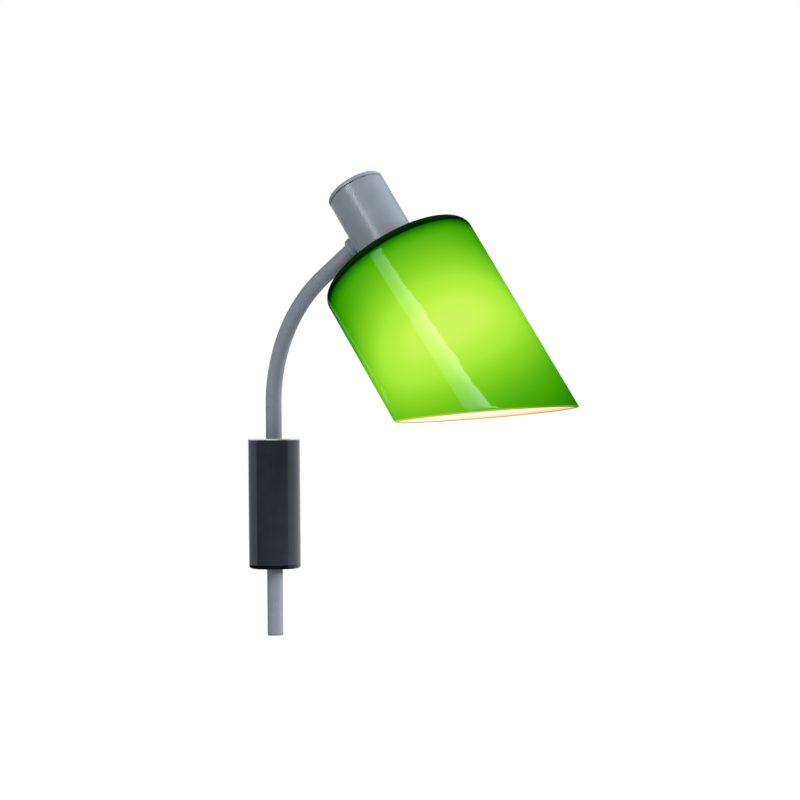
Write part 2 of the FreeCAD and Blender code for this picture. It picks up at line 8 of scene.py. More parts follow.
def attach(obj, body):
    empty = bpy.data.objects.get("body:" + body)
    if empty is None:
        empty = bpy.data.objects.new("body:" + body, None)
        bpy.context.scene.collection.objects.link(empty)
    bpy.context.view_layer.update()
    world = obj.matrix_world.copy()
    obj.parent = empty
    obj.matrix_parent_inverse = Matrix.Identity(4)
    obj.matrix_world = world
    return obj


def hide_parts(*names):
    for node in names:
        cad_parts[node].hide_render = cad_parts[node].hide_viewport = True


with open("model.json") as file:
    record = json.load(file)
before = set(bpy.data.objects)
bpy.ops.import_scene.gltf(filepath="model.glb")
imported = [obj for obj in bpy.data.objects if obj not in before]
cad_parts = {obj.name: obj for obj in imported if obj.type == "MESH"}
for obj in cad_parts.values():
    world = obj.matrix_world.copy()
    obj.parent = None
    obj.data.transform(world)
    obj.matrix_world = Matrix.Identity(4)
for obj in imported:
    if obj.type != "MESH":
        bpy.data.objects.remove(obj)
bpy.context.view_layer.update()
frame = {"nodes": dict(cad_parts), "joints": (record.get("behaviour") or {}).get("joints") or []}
nodes = frame["nodes"]
joints = {joint["name"]: joint for joint in frame["joints"]}
mm = 0.001

# Wall plate and hook studs: a pressed strip of steel screwed to the wall, with two riveted studs.
# They are zinc plated and clear passivated, as are the small steel pieces of the stem and the swivel,
# which leaves a soft bluish silver with faint cloudy patches.


def linear(code):
    """sRGB hex to linear light: c / 12.92 up to 0.04045, and ((c + 0.055) / 1.055) to the power 2.4
    above it."""
    srgb = np.array([int(code[i:i + 2], 16) for i in (1, 3, 5)]) / 255
    light = np.where(srgb <= 0.04045, srgb / 12.92, ((srgb + 0.055) / 1.055) ** 2.4)
    return (*light.tolist(), 1.0)


def add(tree, kind, inputs=None, stops=(), **settings):
    """Adds a node. Settings are its properties, stops the (place, hex) pairs of a ramp, and inputs
    its values, or the outputs that feed them."""
    node = tree.nodes.new(kind)
    for name, value in settings.items():
        setattr(node, name, value)
    for i, (place, code) in enumerate(stops):
        stop = node.color_ramp.elements[i] if i < 2 else node.color_ramp.elements.new(place)
        stop.position, stop.color = place, linear(code)
    for name, value in (inputs or {}).items():
        if isinstance(value, bpy.types.NodeSocket):
            tree.links.new(value, node.inputs[name])
        else:
            node.inputs[name].default_value = value
    return node


def finish(name, tones, patch, rough, grain, depth, stretch=(1, 1, 1), placed=None, **shader_values):
    """A surface of two tones that slow noise mixes, with the same noise swaying its roughness and a
    fine bump. Patch, grain and depth are in mm; noise of size s mm has the scale 1000 / s in metres.
    Stretch lengthens the pattern along each axis, of the object or of the frame that placed gives."""
    material = bpy.data.materials.new(name)
    material.use_nodes = True
    tree = material.node_tree
    shader = tree.nodes["Principled BSDF"]
    place = placed(tree) if placed else add(tree, "ShaderNodeTexCoord").outputs["Object"]
    drawn = add(tree, "ShaderNodeMapping", {"Vector": place, "Scale": [1 / s for s in stretch]}).outputs[0]
    slow = add(tree, "ShaderNodeTexNoise", {"Vector": drawn, "Scale": 1000 / patch,
                                            "Detail": 3.0}).outputs[0]
    tone = add(tree, "ShaderNodeValToRGB", {"Fac": slow}, stops=((0.35, tones[0]), (0.65, tones[1])))
    sway = add(tree, "ShaderNodeMapRange", {"Value": slow, "From Min": 0.3, "From Max": 0.7,
                                            "To Min": rough[0], "To Max": rough[1]})
    fine = add(tree, "ShaderNodeTexNoise", {"Vector": drawn, "Scale": 1000 / grain, "Detail": 2.0})
    bump = add(tree, "ShaderNodeBump", {"Height": fine.outputs[0], "Distance": depth * mm})
    tree.links.new(tone.outputs[0], shader.inputs["Base Color"])
    tree.links.new(sway.outputs[0], shader.inputs["Roughness"])
    tree.links.new(bump.outputs[0], shader.inputs["Normal"])
    for socket, value in shader_values.items():
        shader.inputs[socket.replace("_", " ")].default_value = value
    return material


def coat(material, *names):
    """Gives CAD nodes a material."""
    for name in names:
        nodes[name].material_slots[0].material = material


zinc_plate = finish("zinc_plated_steel", ("#A9ADB3", "#C0C3C7"), patch=5, rough=(0.26, 0.4), grain=0.9,
                    depth=0.006, Metallic=1.0)
coat(zinc_plate, "wall_plate", "hook_studs", "stop_ring", "spigot_nut", "head_stop_pin", "inner_saddle")

# Carrier: an aluminium extrusion, sawn to length, left as it comes from the die and hung on the studs.
# Its skin is a dull silver with fine draw lines that run along the stem.
coat(finish("extruded_aluminium", ("#B4B6B8", "#C9CACC"), patch=1.5, rough=(0.3, 0.42), grain=0.5,
            depth=0.01, stretch=(1, 1, 40), Metallic=1.0), "carrier")

# Base cover and top cap: an aluminium tube with a flat side to the wall, and a turned disc on it, both
# in thick anthracite gloss lacquer, baked on. The lacquer flows out nearly flat: dark and mirror-like,
# with a very faint orange peel. Sections are half sections, (radius, height) in mm, with a rounding each.
stem_x = 17 * mm
up = np.array([0.0, 0.0, 1.0])
out = np.array([1.0, 0.0, 0.0])
stem_foot = out * stem_x
cover_section = [(18.5, -47.0), (20.0, -47.0), (20.0, 48.4), (18.5, 48.4)]
cover_rounds = [0, 0.35, 0.2, 0]
anthracite = ("#282D33", "#2C3138")
rim_inside, rim_foot = 19.4, 48.9


def rounded(corners, rounds, steps=8):
    """A half section in mm with its corners rounded: each corner gives way to the arc that touches
    both its sides, middle + radius * (cos turn, sin turn), in even steps from one touch to the other."""
    corners = np.array(corners, float)
    pieces = []
    for i, (corner, radius) in enumerate(zip(corners, rounds)):
        back, ahead = corners[i - 1] - corner, corners[(i + 1) % len(corners)] - corner
        back, ahead = back / np.linalg.norm(back), ahead / np.linalg.norm(ahead)
        half = np.arccos(back @ ahead) / 2
        if radius == 0:
            pieces.append(corner[None])
            continue
        inward = (back + ahead) / np.linalg.norm(back + ahead)
        middle = corner + inward * radius / np.sin(half)
        first, last = (corner + way * radius / np.tan(half) - middle for way in (back, ahead))
        start = np.arctan2(first[1], first[0])
        sweep = (np.arctan2(last[1], last[0]) - start + np.pi) % (2 * np.pi) - np.pi
        turn = start + sweep * np.linspace(0, 1, steps + 1)
        pieces.append(middle + radius * np.stack([np.cos(turn), np.sin(turn)], 1))
    return np.concatenate(pieces) * mm


def skin(name, points, closed_rows=True, sharp=40):
    """A mesh over a grid of points: each point joins the next in its row and its column, the columns
    close on themselves, and points that share one place become one."""
    rows, columns = points.shape[:2]
    number = np.arange(rows * columns).reshape(rows, columns)
    if closed_rows:
        number = np.vstack([number, number[:1]])
    number = np.hstack([number, number[:, :1]])
    quads = np.stack([number[:-1, :-1], number[:-1, 1:], number[1:, 1:], number[1:, :-1]], -1)
    mesh = bpy.data.meshes.new(name)
    mesh.from_pydata(points.reshape(-1, 3).tolist(), [], quads.reshape(-1, 4).tolist())
    shape = bmesh.new()
    shape.from_mesh(mesh)
    bmesh.ops.remove_doubles(shape, verts=shape.verts, dist=0.001 * mm)
    bmesh.ops.recalc_face_normals(shape, faces=shape.faces)
    shape.to_mesh(mesh)
    shape.free()
    mesh.polygons.foreach_set("use_smooth", np.ones(len(mesh.polygons), bool))
    mesh.set_sharp_from_angle(angle=np.radians(sharp))
    piece = bpy.data.objects.new(name, mesh)
    bpy.context.scene.collection.objects.link(piece)
    return piece


def turned(section, origin, across, axis, count=160):
    """Points of a surface of revolution: a section point (radius, height) goes to
    origin + radius * (cos turn * across + sin turn * side) + height * axis, with side = axis x across."""
    turn = np.linspace(0, 2 * np.pi, count, endpoint=False)[None, :, None]
    radius, height = section[:, 0, None, None], section[:, 1, None, None]
    return origin + radius * (np.cos(turn) * across + np.sin(turn) * np.cross(axis, across)) + height * axis


def cut_at_wall(piece):
    """Cuts away what lies behind the wall's face, x = 0, and closes the cut."""
    shape = bmesh.new()
    shape.from_mesh(piece.data)
    everything = shape.verts[:] + shape.edges[:] + shape.faces[:]
    cut = bmesh.ops.bisect_plane(shape, geom=everything, plane_co=(0, 0, 0), plane_no=(1, 0, 0),
                                 clear_inner=True)
    edges = [item for item in cut["geom_cut"] if isinstance(item, bmesh.types.BMEdge)]
    bmesh.ops.holes_fill(shape, edges=edges, sides=0)
    shape.to_mesh(piece.data)
    shape.free()
    piece.data.set_sharp_from_angle(angle=np.radians(40))


def fit(piece, body, material, slot, *replaced):
    """Puts a new piece on its body in place of CAD nodes, with its material. The slot is not used."""
    piece.data.materials.append(material)
    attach(piece, body)
    if replaced:
        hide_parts(*replaced)


lacquer = finish("anthracite_gloss_lacquer", anthracite, patch=14, rough=(0.05, 0.08), grain=2.5,
                 depth=0.004, IOR=1.5)
cover = skin("base_cover_tube", turned(rounded(cover_section, cover_rounds), stem_foot, out, up))
cut_at_wall(cover)
fit(cover, "wall_base", lacquer, "anthracite_lacquer", "base_cover")


def bright_rim(material):
    """Bares the turned edge of the top cap, which shows as a thin bright line: metal above the rim's
    foot and outside its inner radius."""
    tree = material.node_tree
    shader = tree.nodes["Principled BSDF"]
    place = add(tree, "ShaderNodeTexCoord").outputs["Object"]
    parts = add(tree, "ShaderNodeSeparateXYZ", {0: place}).outputs
    aside = add(tree, "ShaderNodeMath", {0: parts[0], 1: stem_x}, operation="SUBTRACT").outputs[0]
    flat = add(tree, "ShaderNodeCombineXYZ", {0: aside, 1: parts[1]}).outputs[0]
    radius = add(tree, "ShaderNodeVectorMath", {0: flat}, operation="LENGTH").outputs["Value"]
    outer = add(tree, "ShaderNodeMath", {0: radius, 1: rim_inside * mm}, operation="GREATER_THAN")
    upper = add(tree, "ShaderNodeMath", {0: parts[2], 1: rim_foot * mm}, operation="GREATER_THAN")
    bare = add(tree, "ShaderNodeMath", {0: outer.outputs[0], 1: upper.outputs[0]},
               operation="MULTIPLY").outputs[0]
    paint = shader.inputs["Base Color"].links[0].from_socket
    tone = add(tree, "ShaderNodeMix", {"Factor": bare, 6: paint, 7: linear("#D3D7DC")}, data_type="RGBA")
    tree.links.new(tone.outputs[2], shader.inputs["Base Color"])
    sway = shader.inputs["Roughness"].links[0].from_socket
    rough = add(tree, "ShaderNodeMapRange", {"Value": bare, "To Min": sway, "To Max": 0.4}).outputs[0]
    tree.links.new(rough, shader.inputs["Roughness"])
    tree.links.new(bare, shader.inputs["Metallic"])
    return material


rim_lacquer = finish("gloss_lacquer_with_bare_rim", anthracite, patch=14, rough=(0.06, 0.1), grain=2.5,
                     depth=0.004, IOR=1.5)
coat(bright_rim(rim_lacquer), "top_cap")

# Bottom cap and the screws of both caps: the cap is injection moulded in glossy black ABS, so its
# well rounded edge shows sharp reflections. The screws are steel with a black oxide skin.
coat(finish("moulded_gloss_abs", ("#0B0B0C", "#0E0E10"), patch=10, rough=(0.06, 0.1), grain=3, depth=0.004,
            IOR=1.54), "bottom_cap")
black_oxide = finish("black_oxide_steel", ("#1B1B1D", "#2A2A2C"), patch=1.2, rough=(0.35, 0.5), grain=0.3,
                     depth=0.004, Metallic=0.6)
coat(black_oxide, "top_cap_screws", "bottom_cap_screws", "stop_screw")

# Bushes and the friction washer: natural white acetal, injection moulded, which the stem and the
# swivel turn on. It looks slightly waxy, with an even satin sheen.
coat(finish("moulded_white_acetal", ("#DEDDD8", "#E7E6E1"), patch=8, rough=(0.32, 0.42), grain=1.2,
            depth=0.004, IOR=1.48), "upper_bush", "lower_bush", "friction_washer")

# Grip rings: moulded rings of black nitrile rubber, which sit in the bushes and hold the stem by
# friction. They are matt, with a fine dust-grey bloom.
coat(finish("moulded_black_nitrile", ("#141414", "#1F1F1F"), patch=1.5, rough=(0.6, 0.8), grain=0.25,
            depth=0.01), "upper_grip_ring", "lower_grip_ring")

# Stem and collar: drawn steel tube, bent cold and powder coated in mid grey. The powder melts to a
# satin film with a fine orange peel, a little lighter where it gathers. The real peel is 1 mm across,
# and it is drawn twice as coarse, so that it shows. The stem's sizes are in mm.
grey_paint = finish("grey_powder_coat", ("#878E98", "#89909A"), patch=14, rough=(0.25, 0.28), grain=2.2,
                    depth=0.003, IOR=1.5)
coat(grey_paint, "arm_collar", "saddle_washer")
tube_r, bore_r, tube_low, tube_break = 6.1, 5.1, -100.5, 0.2
bend_start, bend_r, bend_angle, arm_length = 77.0, 117.5, np.radians(55), 36.2


def stem_rows():
    """Places along the stem's line with a radius each, in mm: up the outside, over the end and back
    down the bore, with both edges broken."""
    first = bend_start - tube_low
    second = first + bend_r * bend_angle
    last = second + arm_length
    places = np.concatenate([np.linspace(tube_break, first, 12)[:-1], np.linspace(first, second, 80)[:-1],
                             np.linspace(second, last - tube_break, 8)])
    outside = np.stack([places, np.full(len(places), tube_r)], 1)
    bore = np.stack([places[::-1], np.full(len(places), bore_r)], 1)
    end = [(last, tube_r - tube_break), (last, bore_r + tube_break)]
    foot = [(0, bore_r + tube_break), (0, tube_r - tube_break)]
    return np.concatenate([outside, end, bore, foot])


def stem_points(rows, count=96):
    """The line runs straight up, through the bend, and straight on: foot + up * min(place, first)
    + bend_r * ((1 - cos turn) * out + sin turn * up) + way * max(place - second, 0), where turn is the
    way into the bend over its radius. Round it lies radius * (cos * across + sin * side)."""
    place, radius = rows[:, 0, None, None] * mm, rows[:, 1, None, None] * mm
    first = (bend_start - tube_low) * mm
    turn = np.clip((place - first) / (bend_r * mm), 0, bend_angle)
    way = np.sin(bend_angle) * out + np.cos(bend_angle) * up
    middle = (stem_foot + up * tube_low * mm + up * np.minimum(place, first)
              + bend_r * mm * ((1 - np.cos(turn)) * out + np.sin(turn) * up)
              + way * np.maximum(place - first - bend_r * bend_angle * mm, 0))
    around = np.linspace(0, 2 * np.pi, count, endpoint=False)[None, :, None]
    across = np.cos(turn) * out - np.sin(turn) * up
    return middle + radius * (np.cos(around) * across + np.sin(around) * np.cross(up, out))


stem = skin("bent_stem_tube", stem_points(stem_rows()))
fit(stem, "stem", grey_paint, "grey_paint", "stem_tube")

# Cord gland: a plug moulded in grey nylon to match the stem, and pushed into its lower end.
# The mould leaves it a satin skin.
coat(finish("moulded_grey_nylon", ("#7C828C", "#858B95"), patch=4, rough=(0.4, 0.5), grain=0.6, depth=0.006,
            IOR=1.53), "cord_gland")

# Lead and cores: soft white PVC sheath over three cores in brown, blue and green with yellow.
# Extruded PVC is smooth along its length, with a low waxy gloss.
for name, tones, node in (("extruded_white_pvc", ("#D3D2CE", "#DDDCD8"), "arm_lead"),
                          ("extruded_brown_pvc", ("#3F1E0E", "#4A2412"), "live_core"),
                          ("extruded_blue_pvc", ("#164389", "#1A4F9C"), "neutral_core")):
    coat(finish(name, tones, patch=5, rough=(0.38, 0.5), grain=0.7, depth=0.005, IOR=1.53), node)


def striped_pvc():
    """Green PVC with a yellow stripe that winds round the core: a wave across the core's length,
    cut to bands of about a third. The node runs through 20 radians of its wave for each unit, so one
    wave is 2 * pi * radian_length long, in mm."""
    material = bpy.data.materials.new("extruded_striped_pvc")
    material.use_nodes = True
    tree = material.node_tree
    place = add(tree, "ShaderNodeTexCoord").outputs["Object"]
    radian_length = 3.2
    scale = 1000 / radian_length / 20
    wave = add(tree, "ShaderNodeTexWave", {"Vector": place, "Scale": scale, "Distortion": 0.4}).outputs[1]
    tone = add(tree, "ShaderNodeValToRGB", {"Fac": wave}, stops=((0.62, "#2E7D26"), (0.66, "#D9C626")))
    tree.links.new(tone.outputs[0], tree.nodes["Principled BSDF"].inputs["Base Color"])
    tree.nodes["Principled BSDF"].inputs["Roughness"].default_value = 0.45
    return material


coat(striped_pvc(), "earth_core")

# Spigot, terminals, contact and earth fixings: turned free-cutting brass, left bare.
# Fine turning marks and handling give it a slightly uneven warm satin.
coat(finish("turned_brass", ("#B08D4A", "#C6A35C"), patch=2.5, rough=(0.24, 0.38), grain=0.35, depth=0.006,
            Metallic=1.0),
     "swivel_spigot", "live_terminal", "neutral_terminal", "centre_contact", "earth_stud", "earth_nut")

# Housing and lid: a cup drawn from aluminium sheet, and a pressed lid on a ring of vent slots, powder
# coated with the stem. The housing has the same satin film, over the fine rings that polishing on a
# lathe left round the cup, but its grey is set a little darker than the stem's and the lid's, as painted
# shade.
head_point = np.array(joints["head_swivel"]["pos_m"])
arm_way = np.array(joints["head_swivel"]["axis"])
head_up = np.array(joints["shade_turn"]["axis"])


def head_place(tree):
    """Object coordinates turned into the head's own: Z runs up the shade's axis, in metres from the
    swivel."""
    place = add(tree, "ShaderNodeTexCoord").outputs["Object"]
    tilt = -np.arctan2(arm_way[2], arm_way[0])
    return add(tree, "ShaderNodeMapping",
               {"Vector": place, "Location": head_point.tolist(), "Rotation": (0, tilt, 0)},
               vector_type="TEXTURE").outputs[0]


# The housing's grey is a little darker than the stem's: painted shade.
coat(finish("grey_powder_coat_with_painted_shade_on_drawn_cup", ("#808891", "#838B94"), patch=10, rough=(0.2, 0.26), grain=0.7,
            depth=0.12, stretch=(2.5, 2.5, 1), placed=head_place, IOR=1.5), "housing")
lid_section = [(0, 33.2), (19.7, 33.2), (19.7, 25.5), (21.25, 25.5), (21.25, 33.2), (22.49, 33.2),
               (22.49, 36.18), (0, 36.18)]
lid_rounds = [0, 0.3, 0.2, 0.2, 0.1, 0.25, 1.3, 0]


def vent_blocks(count=12, inner=18.7, outer=22.5, half=1.6, low=32.0, high=33.15):
    """One block for each vent slot: the eight corners (x, y, z) in mm, turned round the head's axis by
    equal steps, x * (cos, sin) + y * (-sin, cos)."""
    corners = np.meshgrid([inner, outer], [-half, half], [low, high], indexing="ij")
    x, y, z = (side.ravel()[None] for side in corners)
    turn = np.linspace(0, 2 * np.pi, count, endpoint=False)[:, None]
    cos, sin = np.cos(turn), np.sin(turn)
    flat = np.stack([x * cos - y * sin, x * sin + y * cos, z + 0 * turn], -1) * mm
    points = head_point + flat @ np.stack([arm_way, np.cross(head_up, arm_way), head_up])
    faces = np.array([(0, 1, 3, 2), (4, 6, 7, 5), (0, 4, 5, 1), (2, 3, 7, 6), (0, 2, 6, 4), (1, 5, 7, 3)])
    mesh = bpy.data.meshes.new("vent_blocks")
    mesh.from_pydata(points.reshape(-1, 3).tolist(), [],
                     (faces + 8 * np.arange(count)[:, None, None]).reshape(-1, 4).tolist())
    blocks = bpy.data.objects.new("vent_blocks", mesh)
    bpy.context.scene.collection.objects.link(blocks)
    return blocks


def cut_out(piece, cutter):
    """Takes the cutter's space out of a piece and leaves one plain mesh."""
    cut = piece.modifiers.new("slots", "BOOLEAN")
    cut.operation, cut.solver, cut.object = "DIFFERENCE", "EXACT", cutter
    bpy.context.view_layer.update()
    mesh = bpy.data.meshes.new_from_object(piece.evaluated_get(bpy.context.evaluated_depsgraph_get()))
    piece.modifiers.clear()
    piece.data = mesh
    bpy.data.objects.remove(cutter)
    mesh.set_sharp_from_angle(angle=np.radians(40))


lid = skin("vented_lid", turned(rounded(lid_section, lid_rounds), head_point, arm_way, head_up, 144),
           closed_rows=False)
cut_out(lid, vent_blocks())
fit(lid, "head", grey_paint, "grey_paint", "housing_lid")

# Lamp holder: slip-cast porcelain with a clear glaze, screwed up into the housing. The glaze is
# off-white and glossy, with a slow wave.
coat(finish("glazed_porcelain", ("#E4E2DA", "#ECEAE3"), patch=12, rough=(0.07, 0.14), grain=2.0,
            depth=0.006, IOR=1.52), "lamp_holder")

# Thread sleeve and the bulb's screw cap: brass strip, rolled to a thread and nickel plated. The thin
# plating is bright, with a yellowish cast.
coat(finish("nickel_plated_brass", ("#BDB7A8", "#CFCABD"), patch=3, rough=(0.14, 0.26), grain=0.4,
            depth=0.004, Metallic=1.0), "thread_shell", "bulb_cap")

# Gaskets: rings cut from clear silicone sheet, one on each side of the glass.
# The sheet is slightly milky, with a soft sheen.
coat(finish("cut_clear_silicone", ("#B9BAB6", "#C9CAC6"), patch=3, rough=(0.35, 0.5), grain=0.5,
            depth=0.005, IOR=1.41), "upper_gasket", "lower_gasket")

# Shade ring: black phenolic, compression moulded and screwed on the holder's neck under the glass.
# It has a dull gloss with a fine moulded grain.
coat(finish("moulded_black_phenolic", ("#121212", "#1B1A19"), patch=3, rough=(0.28, 0.42), grain=0.4,
            depth=0.01, IOR=1.6), "shade_ring")

# Shade: a cylinder of blown glass in two layers, opal white inside and clear green outside, with a
# closed top, a rounded shoulder and a mouth sawn aslant and polished. The bulb's light through it is
# painted on as a glow, strongest a little under the globe's middle and painted brighter on one side.
shade_r, shade_top, shade_thick, shade_hole = 61.0, -32.0, 3.0, 20.3
shoulder_r, mouth_depth, mouth_slant, outer_arris, inner_arris = 6.0, 172.3, np.radians(30.1), 1.1, 0.6
glow_depth, glow_reach, glow_side, dim_side = 118.0, 58.0, np.radians(-34), 0.38
outer_layer, lining, cut, seam = 0, 1, 2, 3


def shade_rows(side_rows=40):
    """Rows of the glass, from the hole over the shoulder, down the outer side, round the mouth and
    back up the inner side. Each row has a radius, a height, a slant share and a layer. The share runs
    from 0 at the shoulder to 1 at the mouth."""
    inner_r, under = shade_r - shade_thick, shade_top - shade_thick
    outer, inner = (rounded([(shade_hole, top), (radius, top), (radius, -mouth_depth),
                             (shade_hole, -mouth_depth)], [0.5, shoulder, 0, 0], 12)[:-2]
                    for radius, top, shoulder in ((shade_r, shade_top, shoulder_r),
                                                  (inner_r, under, shoulder_r - shade_thick)))
    share = np.linspace(0, 1, side_rows + 1)[1:-1]
    turn = np.linspace(0, np.pi / 2, 7)
    round_off = np.stack([1 - np.cos(turn), 1 - np.sin(turn)], 1) * mm

    def side(radius, top, arris):
        low = (arris - mouth_depth) * mm
        return np.stack([np.full(share.shape, radius * mm), top + share * (low - top), share], 1)

    def flat(points, share_value):
        return np.column_stack([points, np.full(len(points), share_value)])

    out_edge = np.array([shade_r, -mouth_depth]) * mm + round_off * outer_arris * [-1, 1]
    in_edge = np.array([inner_r, -mouth_depth]) * mm + round_off[::-1] * inner_arris
    parts = [(flat(outer, 0), outer_layer), (side(shade_r, outer[-1, 1], outer_arris), outer_layer),
             (flat(out_edge, 1), cut), (flat(in_edge[:-1], 1), seam), (flat(in_edge[-1:], 1), lining),
             (side(inner_r, inner[-1, 1], inner_arris)[::-1], lining), (flat(inner[::-1], 0), lining)]
    return np.concatenate([np.column_stack([rows, np.full(len(rows), layer)]) for rows, layer in parts])


def shade_points(rows, count):
    """The rows turned about the head's axis. The mouth's slant takes share * radius * cos turn * tan
    slant from the height, and a slight hand-blown wave takes up to 0.06 mm from the radius:
    0.03 * (1 + sin(5 turn + height / 19) * sin(3 turn - height / 31)), in mm."""
    turn = np.linspace(0, 2 * np.pi, count, endpoint=False)[None, :]
    radius, height, share = (rows[:, i, None] for i in range(3))
    height = height - share * radius * np.cos(turn) * np.tan(mouth_slant)
    wave = np.sin(5 * turn + height / (19 * mm)) * np.sin(3 * turn - height / (31 * mm))
    radius = radius - 0.03 * mm * (1 + wave) * (share > 0)
    side = np.cross(head_up, arm_way)
    flat = (radius * np.cos(turn))[..., None] * arm_way + (radius * np.sin(turn))[..., None] * side
    return head_point + flat + height[..., None] * head_up


def glow_from_bulb(tree, place):
    """How brightly the bulb lights the wall, as a painted glow: (1 + (height from the glow's middle /
    glow reach) squared) to the power -1.5. One side of the glow is painted brighter, by a cosine of the
    angle round the axis."""
    parts = add(tree, "ShaderNodeSeparateXYZ", {0: place}).outputs
    away = add(tree, "ShaderNodeMath", {0: parts[2], 1: glow_depth * mm}, operation="ADD").outputs[0]
    ratio = add(tree, "ShaderNodeMath", {0: away, 1: glow_reach * mm}, operation="DIVIDE").outputs[0]
    square = add(tree, "ShaderNodeMath", {0: ratio, 1: ratio}, operation="MULTIPLY").outputs[0]
    more = add(tree, "ShaderNodeMath", {0: square, 1: 1.0}, operation="ADD").outputs[0]
    along = add(tree, "ShaderNodeMath", {0: more, 1: -1.5}, operation="POWER").outputs[0]
    flat = add(tree, "ShaderNodeCombineXYZ", {0: parts[0], 1: parts[1]}).outputs[0]
    unit = add(tree, "ShaderNodeVectorMath", {0: flat}, operation="NORMALIZE").outputs[0]
    # The way round the axis to the side where the glow is painted brighter.
    brighter_way = [float(np.cos(glow_side)), float(np.sin(glow_side)), 0.0]
    near = add(tree, "ShaderNodeVectorMath", {0: unit, 1: brighter_way}, operation="DOT_PRODUCT").outputs["Value"]
    round_axis = add(tree, "ShaderNodeMapRange", {"Value": near, "From Min": -1.0,
                                                  "To Min": dim_side}).outputs[0]
    return add(tree, "ShaderNodeMath", {0: along, 1: round_axis}, operation="MULTIPLY").outputs[0]


def glass_material(name):
    """A new material with the gloss of fire-polished soda glass, and its tree, shader and head
    coordinates."""
    material = bpy.data.materials.new(name)
    material.use_nodes = True
    shader = material.node_tree.nodes["Principled BSDF"]
    shader.inputs["Roughness"].default_value = 0.03
    shader.inputs["IOR"].default_value = 1.52
    return material, material.node_tree, shader, head_place(material.node_tree)


def green_glass():
    """Transparent green over opal, with the bulb's light painted on as a glow. The colour goes from deep
    green to yellow-green with the light behind it, and deepens where the wall turns away, because the way
    through the green layer is longer there. The ring and the gasket cast painted shade on it between 4 and
    18 mm under the top, ending in a dark line; above that the shoulder's glow is painted a dim deep green."""
    material, tree, shader, place = glass_material("green_cased_glass")
    light = glow_from_bulb(tree, place)
    facing = add(tree, "ShaderNodeLayerWeight", {"Blend": 0.5}).outputs["Facing"]
    fade = add(tree, "ShaderNodeMapRange", {"Value": facing, "To Min": 1.03, "To Max": 0.45}).outputs[0]
    seen = add(tree, "ShaderNodeMath", {0: light, 1: fade}, operation="MULTIPLY").outputs[0]
    rise = add(tree, "ShaderNodeSeparateXYZ", {0: place}).outputs[2]
    height = add(tree, "ShaderNodeMapRange", {"Value": rise, "From Min": (shade_top - 18) * mm,
                                              "From Max": (shade_top - 4) * mm}).outputs[0]
    shaded = add(tree, "ShaderNodeValToRGB", {"Fac": height}, stops=(
        (0.0, "#FFFFFF"), (0.79, "#000000"), (0.25, "#F1F1F1"), (0.5, "#D0D0D0"), (0.714, "#9C9C9C"),
        (0.76, "#808080"))).outputs[0]
    seen = add(tree, "ShaderNodeMath", {0: seen, 1: shaded}, operation="MULTIPLY").outputs[0]
    tone = add(tree, "ShaderNodeValToRGB", {"Fac": seen}, stops=(
        (0.0, "#000F00"), (0.965, "#CCF75E"), (0.03, "#003C00"), (0.06, "#0B6A00"), (0.1, "#258000"),
        (0.14, "#379601"), (0.185, "#47A403"), (0.23, "#51AF0E"), (0.285, "#63BB18"), (0.369, "#7CCB1D"),
        (0.476, "#91D82A"), (0.606, "#A6EA3C"), (0.747, "#B5F043"), (0.875, "#C7F655"))).outputs[0]
    # Above the dark line the shoulder's glow is painted a dim deep green: painted shade.
    deep = add(tree, "ShaderNodeValToRGB", {"Fac": height}, stops=((0.9, "#000000"), (0.95, "#FFFFFF")))
    whole = add(tree, "ShaderNodeMix", {"Factor": deep.outputs[0], 6: tone, 7: linear("#012801")},
                data_type="RGBA").outputs[2]
    tree.links.new(whole, shader.inputs["Emission Color"])
    shader.inputs["Emission Strength"].default_value = 1.0
    shader.inputs["Base Color"].default_value = linear("#020F00")
    return material


def opal_glass():
    """The white inner layer, with the bulb's light painted on as a glow: creamier away from the bulb and in
    the last 8 mm above the mouth, measured as height + mouth depth + x * tan slant. The emission already
    holds the bulb's light, so the glass's own colour is kept low."""
    material, tree, shader, place = glass_material("opal_lining")
    light = glow_from_bulb(tree, place)
    slope = [float(np.tan(mouth_slant)), 0.0, 1.0]
    rise = add(tree, "ShaderNodeVectorMath", {0: place, 1: slope}, operation="DOT_PRODUCT").outputs["Value"]
    creamy_hem = 8.0
    inward = add(tree, "ShaderNodeMapRange", {"Value": rise, "From Min": -mouth_depth * mm, "To Max": 0.5,
                                              "From Max": (creamy_hem - mouth_depth) * mm}).outputs[0]
    white = add(tree, "ShaderNodeMath", {0: light, 1: inward}, operation="ADD").outputs[0]
    tone = add(tree, "ShaderNodeValToRGB", {"Fac": white}, stops=(
        (0.12, "#D8AA50"), (0.9, "#FFFFFF"), (0.35, "#FAE6B6"), (0.6, "#FFFFFA"))).outputs[0]
    tree.links.new(tone, shader.inputs["Emission Color"])
    shader.inputs["Emission Strength"].default_value = 0.97
    shader.inputs["Base Color"].default_value = linear("#5A5750")
    shader.inputs["Roughness"].default_value = 0.12
    return material


def cut_glass():
    """The polished mouth: the light that runs down inside the wall leaves it there, painted on as a glow,
    yellow-green on the arm's side and amber on the far side."""
    material, tree, shader, place = glass_material("polished_glass_edge")
    across = add(tree, "ShaderNodeSeparateXYZ", {0: place}).outputs[0]
    share = add(tree, "ShaderNodeMapRange", {"Value": across, "From Min": -shade_r * mm,
                                             "From Max": shade_r * mm}).outputs[0]
    tone = add(tree, "ShaderNodeValToRGB", {"Fac": share}, stops=(
        (0.0, "#D8D014"), (0.85, "#CDA64A"), (0.35, "#D8B02A"), (0.97, "#6E7A34"))).outputs[0]
    tree.links.new(tone, shader.inputs["Emission Color"])
    shader.inputs["Emission Strength"].default_value = 1.0
    shader.inputs["Base Color"].default_value = linear("#2C3A10")
    shader.inputs["Roughness"].default_value = 0.08
    return material


